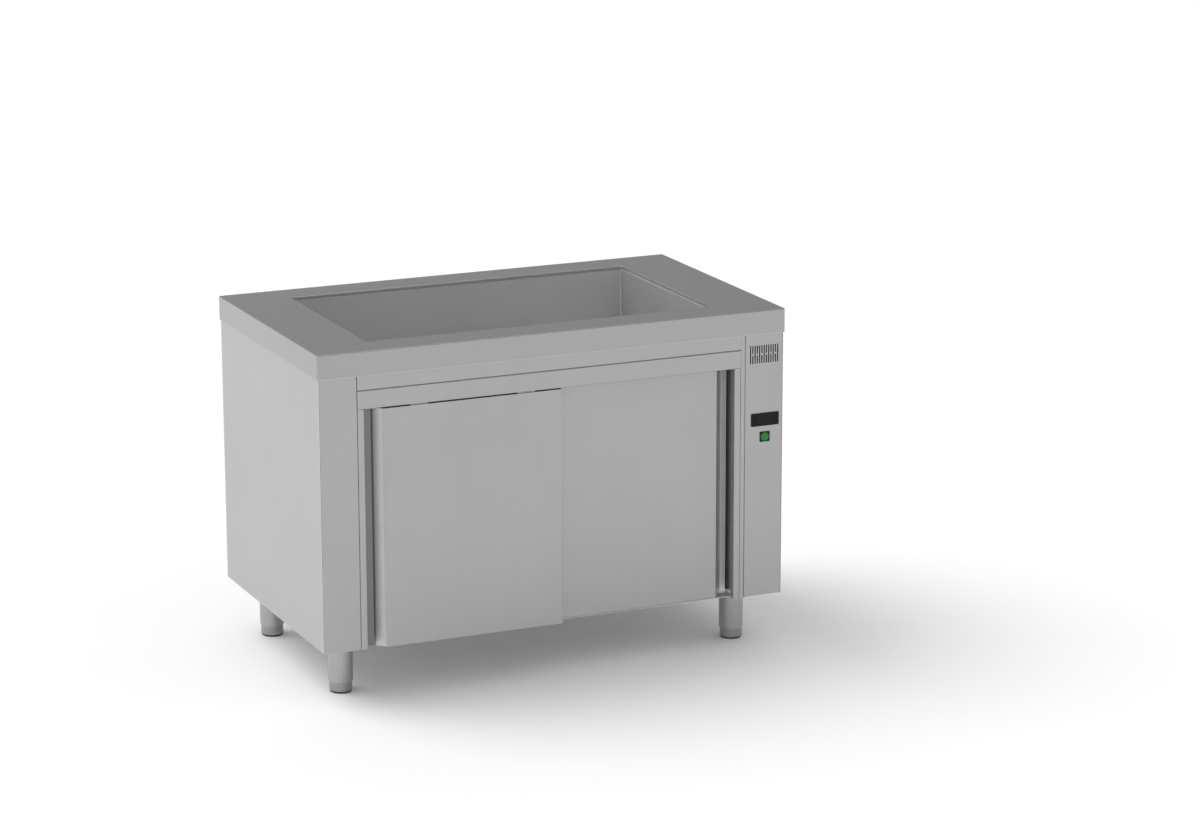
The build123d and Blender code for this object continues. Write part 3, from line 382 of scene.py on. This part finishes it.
def steel_finish(
    name, grey, grain, roughness, edge_band_radius=0.0009, warmth=0.0, lines=1.0, metal=0.78, pull=None
):
    """Ground stainless steel whose hair lines run along one axis.

    The radius of the edge band, where the roughness drops and a highlight is painted into the
    colour, stays below the gauge of the sheet, so that an edge never meets its far side.
    A pull is the plane of a door's face and the greys of painted shade and painted reflection for
    its return and its lip.
    """
    material, tree, shader = start_material(name)
    hair_scale = [hairs_across] * 3
    hair_scale[grain] = hairs_along
    band_scale = [bands_across] * 3
    band_scale[grain] = bands_along
    hairs = noise_on_object(tree, hair_scale, detail=2.0)
    bands = noise_on_object(tree, band_scale, detail=4.0)
    smears = noise_on_object(tree, [smears_per_metre] * 3, detail=5.0, roughness=0.6)
    # Edge mask, named polished: real polish in the roughness below, and a painted highlight in the
    # colour.
    polished = edge_polish_and_highlight_mask(tree, edge_band_radius)

    light = (grey * (1 + warmth), grey, grey * (1 - warmth))
    dark = tuple(v * (1 - hair_darkening * lines) for v in light)
    banded = tuple(v * band_brightening for v in light)
    painted_highlight_colour = tuple(min(1.0, v * painted_edge_highlight) for v in light)
    hair_colour = mix_colours(tree, spread(tree, hairs, 0.0, 1.0), dark, light)
    band_colour = mix_colours(tree, spread(tree, bands, 0.0, band_share), hair_colour, banded)
    # Painted highlight: the colour is lightened along every edge.
    colour = mix_colours(tree, polished, band_colour, painted_highlight_colour)
    # Painted shade and painted reflection on the finger pull of a door.
    if pull is not None:
        colour = paint_pull_shade_and_reflection(tree, colour, *pull)
    tree.links.new(colour, shader.inputs["Base Color"])
    shader.inputs["Metallic"].default_value = metal

    smear_rough = spread(tree, smears, roughness - smear_smoother, roughness + smear_rougher)
    hair_rough = spread(tree, hairs, -hair_roughness * lines, hair_roughness * lines)
    ground = join_values(tree, "ADD", smear_rough, hair_rough)
    smooth = add_node(tree, "ShaderNodeMapRange", To_Max=edge_roughness)
    tree.links.new(polished, smooth.inputs["Value"])
    tree.links.new(ground, smooth.inputs["To Min"])
    tree.links.new(smooth.outputs["Result"], shader.inputs["Roughness"])
    add_bump(tree, shader, hairs, hair_relief * lines, hair_strength)
    return material


print("hair lines per metre:", hairs_across)

# %% [markdown]
# ### One steel for each place
# The worktop is ground along its length, the doors and panels upwards. Sheet inside the cupboard is
# as it comes from the mill, tubes and turned feet are smoother, and the heating element has gone
# dark from heat. After its name, each steel has its grey, the way of its hair lines and its
# roughness. The doors are of the same steel as the rest of the front, apart from their pulls, whose
# greys are painted shade and painted reflection.


# %% Make the steels
sheet_roughness = 0.34


def front_finish(name, pull=None):
    """Steel of the front, ground upwards."""
    return steel_finish(name, 0.43, along_z, sheet_roughness, lines=0.5, metal=0.74, pull=pull)


def door_finish(name, node, painted_return_grey, painted_lip_grey):
    """Front steel of a door, with the painted shade and reflection greys of its folded finger pull.
    """
    face = min(corner[1] for corner in nodes[node].bound_box)
    return front_finish(name, pull=(face, painted_return_grey, painted_lip_grey))


steels = {
    "worktop": steel_finish("worktop steel", 0.41, along_x, sheet_roughness, edge_band_radius=0.0014, lines=0.8),
    "front": front_finish("front sheet steel"),
    # Door pulls: a dark lip grey is painted shade, and light return and lip greys are painted
    # reflection.
    "left_door": door_finish("left door steel", "left_door_skin", painted_return_grey=0.54, painted_lip_grey=0.2),
    "right_door": door_finish("right door steel", "right_door_skin", painted_return_grey=0.5, painted_lip_grey=1.0),
    "side": steel_finish("side sheet steel", 0.5, along_z, 0.42, lines=0.6),
    "satin": steel_finish("satin well steel", 0.65, along_x, sheet_roughness, lines=0.5, metal=0.85),
    "inner": steel_finish("mill finish inner steel", 0.6, along_x, 0.5, metal=0.55),
    "tube": steel_finish("leg tube steel", 0.43, along_z, 0.3),
    "turned": steel_finish("turned foot steel", 0.36, along_x, 0.32),
    "element": steel_finish("heat darkened element", 0.2, along_x, 0.45, warmth=0.12),
    "polished": steel_finish("polished ball", 0.7, along_y, 0.12, lines=0.3, metal=1.0),
}
print("steel finishes:", ", ".join(sorted(steels)))

# %% [markdown]
# ## Other metals
# The door track is an aluminium extrusion with die lines along its length, the drain valve is
# nickel-plated brass with a cast, slightly pitted skin, and its lever is dipped in red plastic.
# The die lines and the pits are noise again: long and thin for the one, round for the other.

# %% Track, valve and lever
pits_per_metre = 260.0
pit_depth = 0.00012
stains_per_metre = 25.0
flows_per_metre = 60.0
flow_depth = 0.0003

track_finish = steel_finish("extruded aluminium", 0.62, along_x, 0.33, warmth=-0.01)

valve_finish, tree, shader = start_material("nickel plated brass")
pits = noise_on_object(tree, [pits_per_metre] * 3, detail=2.0)
stain = noise_on_object(tree, [stains_per_metre] * 3, detail=4.0)
nickel = mix_colours(tree, spread(tree, stain, 0.0, 1.0), (0.55, 0.52, 0.46), (0.62, 0.6, 0.56))
tree.links.new(nickel, shader.inputs["Base Color"])
tree.links.new(spread(tree, pits, 0.22, 0.36), shader.inputs["Roughness"])
shader.inputs["Metallic"].default_value = 1.0
add_bump(tree, shader, pits, pit_depth, 0.5)

lever_finish, tree, shader = start_material("red dipped lever")
flow = noise_on_object(tree, [flows_per_metre] * 3, detail=3.0)
red = mix_colours(tree, spread(tree, flow, 0.0, 1.0), (0.42, 0.02, 0.02), (0.5, 0.035, 0.03))
tree.links.new(red, shader.inputs["Base Color"])
tree.links.new(spread(tree, flow, 0.32, 0.42), shader.inputs["Roughness"])
add_bump(tree, shader, flow, flow_depth, 0.3)
print("made", track_finish.name + ",", valve_finish.name, "and", lever_finish.name)

# %% [markdown]
# ## Plastics, rubber and wool
# Moulded plastic is never quite smooth: the mould is spark eroded, which leaves a fine even
# grain. A high noise in the relief gives that grain, and a slow noise changes the gloss where
# fingers have been. The same recipe with other numbers makes the controller, the relay, the
# nylon rollers and the rubber pads. The wool round the well gets a coarser, fibrous relief.


# %% Moulded finish
handling_per_metre = 30.0
handling_gloss = 0.05


def moulded_finish(name, dark, light, roughness, grain_size=1500.0, relief=0.00006, gloss=0.5):
    """Moulded plastic or rubber with an eroded grain."""
    material, tree, shader = start_material(name)
    grain = noise_on_object(tree, [grain_size] * 3, detail=2.0)
    slow = noise_on_object(tree, [handling_per_metre] * 3, detail=4.0)
    colour = mix_colours(tree, spread(tree, slow, 0.0, 1.0), dark, light)
    tree.links.new(colour, shader.inputs["Base Color"])
    shine = spread(tree, slow, roughness - handling_gloss, roughness + handling_gloss)
    tree.links.new(shine, shader.inputs["Roughness"])
    shader.inputs["Specular IOR Level"].default_value = gloss
    add_bump(tree, shader, grain, relief, 0.5)
    return material


print("moulded grain swings the roughness by", handling_gloss)

# %% [markdown]
# ### Lens of the green switch
# The push switch glows: a lamp sits behind a tinted, slightly frosted lens. It could be made of
# clear plastic with a lamp behind it, but at this size a coloured surface that gives off a little
# light looks the same and is quicker to render.


# %% Glowing finish
frost_per_metre = 900.0
frost_depth = 0.00002
clouds_per_metre = 120.0
cloud_gloss = 0.03


def glowing_finish(name, dark, light, glow, glow_strength, roughness):
    """A tinted lens that gives off a little light."""
    material, tree, shader = start_material(name)
    frost = noise_on_object(tree, [frost_per_metre] * 3, detail=2.0)
    cloud = noise_on_object(tree, [clouds_per_metre] * 3, detail=3.0)
    tint = mix_colours(tree, spread(tree, cloud, 0.0, 1.0), dark, light)
    tree.links.new(tint, shader.inputs["Base Color"])
    haze = spread(tree, cloud, roughness - cloud_gloss, roughness + cloud_gloss)
    tree.links.new(haze, shader.inputs["Roughness"])
    shader.inputs["Emission Color"].default_value = (*glow, 1.0)
    shader.inputs["Emission Strength"].default_value = glow_strength
    shader.inputs["Specular IOR Level"].default_value = 0.3
    add_bump(tree, shader, frost, frost_depth, 0.3)
    return material


print("glowing finish ready")

# %% [markdown]
# ### One finish for each plastic
# The black of the controller is dull and nearly neutral, the relay and the terminals are light
# grey, and the nylon is its natural cream. A smoked lens covers the display, and the switch has
# its green lens over a paler lamp.

# %% Make the plastics
plastics = {
    "black": moulded_finish(
        "black control plastic", (0.009, 0.009, 0.01), (0.014, 0.014, 0.015), 0.45, gloss=0.15
    ),
    "grey": moulded_finish("grey electrical plastic", (0.3, 0.31, 0.32), (0.36, 0.37, 0.38), 0.5),
    "nylon": moulded_finish("natural nylon", (0.66, 0.64, 0.58), (0.74, 0.72, 0.66), 0.45),
    "rubber": moulded_finish(
        "black rubber pad",
        (0.016, 0.016, 0.016),
        (0.03, 0.03, 0.03),
        0.75,
        grain_size=600.0,
        relief=0.0002,
    ),
    "wool": moulded_finish(
        "mineral wool",
        (0.44, 0.38, 0.22),
        (0.6, 0.54, 0.36),
        0.95,
        grain_size=260.0,
        relief=0.002,
    ),
    "display": moulded_finish(
        "smoked display lens", (0.005, 0.005, 0.005), (0.008, 0.008, 0.008), 0.14, gloss=0.2
    ),
    "green": glowing_finish(
        "green switch lens",
        dark=(0.01, 0.13, 0.014),
        light=(0.014, 0.17, 0.02),
        glow=(0.012, 0.3, 0.02),
        glow_strength=0.22,
        roughness=0.25,
    ),
    "lamp": glowing_finish(
        "switch lamp glass",
        dark=(0.3, 0.7, 0.3),
        light=(0.4, 0.8, 0.4),
        glow=(0.2, 1.0, 0.3),
        glow_strength=1.0,
        roughness=0.15,
    ),
}
print("plastic finishes:", ", ".join(sorted(plastics)))

# %% [markdown]
# ## Finishes onto the CAD nodes
# The record names a material slot for each CAD node. A table from slot to finish dresses most of
# them. The worktop, the door skins and the outer side and back panels share a slot with the front
# but are sheets of their own, so they get their own steel by name.

# %% Dress the CAD nodes
finish_of_slot = {
    "brushed_steel": steels["front"],
    "inner_steel": steels["inner"],
    "satin_steel": steels["satin"],
    "bright_steel": steels["polished"],
    "leg_steel": steels["tube"],
    "foot_steel": steels["turned"],
    "element_steel": steels["element"],
    "track_aluminium": track_finish,
    "valve_brass": valve_finish,
    "lever_red": lever_finish,
    "mineral_wool": plastics["wool"],
    "nylon": plastics["nylon"],
    "black_plastic": plastics["black"],
    "grey_plastic": plastics["grey"],
    "display_glass": plastics["display"],
    "green_lens": plastics["green"],
    "lamp_lens": plastics["lamp"],
    "pad_rubber": plastics["rubber"],
}
finish_of_node = {
    "left_door_skin": steels["left_door"],
    "right_door_skin": steels["right_door"],
    "worktop": steels["worktop"],
    "left_side_panel": steels["side"],
    "right_side_panel": steels["side"],
    "back_panel": steels["side"],
}
for part in frame["record"]["subparts"]:
    finish = finish_of_node.get(part["node"], finish_of_slot[part["material_slot"]])
    for slot in nodes[part["node"]].material_slots:
        slot.material = finish

# %% [markdown]
# ## Rows of screws
# The back panel is screwed to the cupboard walls and to the edge of the floor, and every leg
# plate has four hexagon bolts. The heads are all alike, so Geometry Nodes make one head, copy it
# along a row and turn it to face outwards. A Boolean node sinks a small hexagon in each head.
# Modelling each by hand would be slow, and a change of size would mean doing it all again.


# %% Heads of the screws and bolts
dome_sides = 24
hexagon_sides = 6
bolt_top_share = 0.9


def domed_head(tree, given):
    """A ball that is flattened to the radius and the height of the head."""
    link = tree.links.new
    ball = tree.nodes.new("GeometryNodeMeshUVSphere")
    ball.inputs["Segments"].default_value = dome_sides
    ball.inputs["Rings"].default_value = dome_sides // 2
    flatten = tree.nodes.new("ShaderNodeCombineXYZ")
    for axis in ("X", "Y"):
        link(given.outputs["Head Radius"], flatten.inputs[axis])
    link(given.outputs["Head Height"], flatten.inputs["Z"])
    head = tree.nodes.new("GeometryNodeTransform")
    link(ball.outputs["Mesh"], head.inputs["Geometry"])
    link(flatten.outputs[0], head.inputs["Scale"])
    return head.outputs["Geometry"]


def hexagon_head(tree, given):
    """A hexagon that narrows a little towards its top."""
    link = tree.links.new
    hexagon = tree.nodes.new("GeometryNodeMeshCone")
    hexagon.inputs["Vertices"].default_value = hexagon_sides
    link(given.outputs["Head Radius"], hexagon.inputs["Radius Bottom"])
    narrower = tree.nodes.new("ShaderNodeMath")
    narrower.operation = "MULTIPLY"
    narrower.inputs[1].default_value = bolt_top_share
    link(given.outputs["Head Radius"], narrower.inputs[0])
    link(narrower.outputs[0], hexagon.inputs["Radius Top"])
    link(given.outputs["Head Height"], hexagon.inputs["Depth"])
    return hexagon.outputs["Mesh"]


def sink_socket(tree, given, head):
    """Cuts a hexagon socket into the upper half of a head."""
    link = tree.links.new
    drive = tree.nodes.new("GeometryNodeMeshCylinder")
    drive.inputs["Vertices"].default_value = hexagon_sides
    link(given.outputs["Socket Radius"], drive.inputs["Radius"])
    link(given.outputs["Head Height"], drive.inputs["Depth"])
    lift = tree.nodes.new("ShaderNodeCombineXYZ")
    link(given.outputs["Head Height"], lift.inputs["Z"])
    raised = tree.nodes.new("GeometryNodeTransform")
    link(drive.outputs["Mesh"], raised.inputs["Geometry"])
    link(lift.outputs[0], raised.inputs["Translation"])
    cut = tree.nodes.new("GeometryNodeMeshBoolean")
    cut.operation = "DIFFERENCE"
    cut.solver = "EXACT"
    link(head, cut.inputs["Mesh 1"])
    link(raised.outputs["Geometry"], cut.inputs["Mesh 2"])
    return cut.outputs["Mesh"]


print("head shapes:", dome_sides, "and", hexagon_sides, "sides")

# %% [markdown]
# ### A tree for each kind of row
# The tree has named inputs for the count, the start and step of the row, the tilt of the heads
# and their sizes. It ends by making the copies real and giving them their finish, because copies
# that are only instances don't reach the export.


# %% Tree for a row of screws
def add_input(tree, name, kind, value):
    """Adds a named input to a geometry tree."""
    socket = tree.interface.new_socket(name, in_out="INPUT", socket_type=kind)
    socket.default_value = value


def screw_row_tree(name, make_head):
    """Geometry tree that sets heads of one kind along a row."""
    tree = bpy.data.node_groups.new(name, "GeometryNodeTree")
    tree.interface.new_socket("Geometry", in_out="OUTPUT", socket_type="NodeSocketGeometry")
    add_input(tree, "Count", "NodeSocketInt", 4)
    add_input(tree, "Start", "NodeSocketVector", (0, 0, 0))
    add_input(tree, "Step", "NodeSocketVector", (0.1, 0, 0))
    add_input(tree, "Tilt", "NodeSocketVector", (0, 0, 0))
    add_input(tree, "Head Radius", "NodeSocketFloat", 0.004)
    add_input(tree, "Head Height", "NodeSocketFloat", 0.002)
    add_input(tree, "Socket Radius", "NodeSocketFloat", 0.0015)
    tree.interface.new_socket("Finish", in_out="INPUT", socket_type="NodeSocketMaterial")
    given = tree.nodes.new("NodeGroupInput")
    result = tree.nodes.new("NodeGroupOutput")
    link = tree.links.new

    head = sink_socket(tree, given, make_head(tree, given))
    row = tree.nodes.new("GeometryNodeMeshLine")
    link(given.outputs["Count"], row.inputs["Count"])
    link(given.outputs["Start"], row.inputs["Start Location"])
    link(given.outputs["Step"], row.inputs["Offset"])
    place = tree.nodes.new("GeometryNodeInstanceOnPoints")
    link(row.outputs["Mesh"], place.inputs["Points"])
    link(head, place.inputs["Instance"])
    link(given.outputs["Tilt"], place.inputs["Rotation"])
    real = tree.nodes.new("GeometryNodeRealizeInstances")
    link(place.outputs["Instances"], real.inputs["Geometry"])
    dress = tree.nodes.new("GeometryNodeSetMaterial")
    link(real.outputs["Geometry"], dress.inputs["Geometry"])
    link(given.outputs["Finish"], dress.inputs["Material"])
    link(dress.outputs["Geometry"], result.inputs["Geometry"])
    return tree


screw_tree = screw_row_tree("row of dome screws", domed_head)
bolt_tree = screw_row_tree("row of hexagon bolts", hexagon_head)
print("row trees:", screw_tree.name, "and", bolt_tree.name)

# %% [markdown]
# ## From a tree to a mesh
# A modifier runs the tree. Its inputs have to be set by their identifiers before it is first
# evaluated. The evaluated result is then copied into a plain mesh, because only real faces are
# exported. Rows that belong to one piece are joined into one mesh.


# %% Run a tree
def mesh_from_tree(tree, values):
    """Evaluates a geometry tree with the given inputs and returns a plain mesh."""
    holder = bpy.data.objects.new("holder", bpy.data.meshes.new("holder"))
    bpy.context.scene.collection.objects.link(holder)
    modifier = holder.modifiers.new("tree", "NODES")
    modifier.node_group = tree
    for item in tree.interface.items_tree:
        if item.in_out == "INPUT" and item.name in values:
            modifier[item.identifier] = values[item.name]
    evaluated = holder.evaluated_get(bpy.context.evaluated_depsgraph_get())
    made = bpy.data.meshes.new_from_object(evaluated)
    holder.modifiers.clear()
    bpy.data.objects.remove(holder)
    return made


def join_meshes(name, meshes, finish, body):
    """Joins meshes into one piece that rides on a body, and returns its number of faces."""
    points = []
    faces = []
    for mesh in meshes:
        first = len(points)
        points += [tuple(v.co) for v in mesh.vertices]
        faces += [tuple(first + i for i in face.vertices) for face in mesh.polygons]
    joined = bpy.data.meshes.new(name)
    joined.from_pydata(points, [], faces)
    joined.materials.append(finish)
    piece = bpy.data.objects.new(name, joined)
    bpy.context.scene.collection.objects.link(piece)
    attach(piece, body)
    return len(faces)


print("a tree becomes a mesh, and meshes become one piece")

# %% [markdown]
# ### Screws of the back panel
# Two upright rows go into the folded edges of the inner walls and one level row into the edge of
# the cupboard floor. The upright rows stand a little in from the side of each wall, so their
# places are read from the walls, and a quarter turn lays the heads against the back.

# %% Screws of the back panel
back_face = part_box("back_panel")[1].y
wall_screw_inset = 0.007
wall_screws_low = 0.18
wall_screws_step = 0.14
floor_screw_height = 0.148
floor_screws_left = -0.42
floor_screws_step = 0.205
screws_in_row = 5
screw_values = {
    "Count": screws_in_row,
    "Head Radius": 0.0042,
    "Head Height": 0.0022,
    "Socket Radius": 0.0016,
    "Tilt": (math.radians(-90), 0.0, 0.0),
    "Finish": steels["turned"],
}
rows = []
left_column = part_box("left_inner_wall")[0].x + wall_screw_inset
right_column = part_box("right_inner_wall")[1].x - wall_screw_inset
for x in (left_column, right_column):
    row = {"Start": (x, back_face, wall_screws_low), "Step": (0.0, 0.0, wall_screws_step)}
    rows.append(mesh_from_tree(screw_tree, {**screw_values, **row}))
floor_row = {
    "Start": (floor_screws_left, back_face, floor_screw_height),
    "Step": (floor_screws_step, 0.0, 0.0),
}
rows.append(mesh_from_tree(screw_tree, {**screw_values, **floor_row}))
count = join_meshes("back_panel_screws", rows, steels["turned"], "counter_body")
print("back panel screws:", len(rows) * screws_in_row, "heads,", count, "faces")

# %% [markdown]
# ### Bolts of the leg plates
# Four bolts hold each leg plate up against the floor of the cupboard. Their heads are below the
# plate, so each row is turned upside down, and its place is read from the foot below it.

# %% Bolts of the leg plates
plate_gap = 0.0002
plate_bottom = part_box("leg_sleeves")[1].z + plate_gap
bolt_inset = 0.033
bolt_drop = 0.0018
bolts_in_row = 2
bolt_values = {
    "Count": bolts_in_row,
    "Head Radius": 0.005,
    "Head Height": 0.0036,
    "Socket Radius": 0.0012,
    "Tilt": (math.radians(180), 0.0, 0.0),
    "Finish": steels["turned"],
}
rows = []
for corner in ("front_left", "front_right", "rear_left", "rear_right"):
    low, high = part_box("foot_" + corner)
    middle = (low + high) / 2
    for side in (-1, 1):
        start = (middle.x - bolt_inset, middle.y + side * bolt_inset, plate_bottom - bolt_drop)
        row = {"Start": start, "Step": (2 * bolt_inset, 0.0, 0.0)}
        rows.append(mesh_from_tree(bolt_tree, {**bolt_values, **row}))
count = join_meshes("leg_plate_bolts", rows, steels["turned"], "counter_body")
print("leg plate bolts:", len(rows) * bolts_in_row, "heads,", count, "faces")

# %% End of the script
print("script finished")
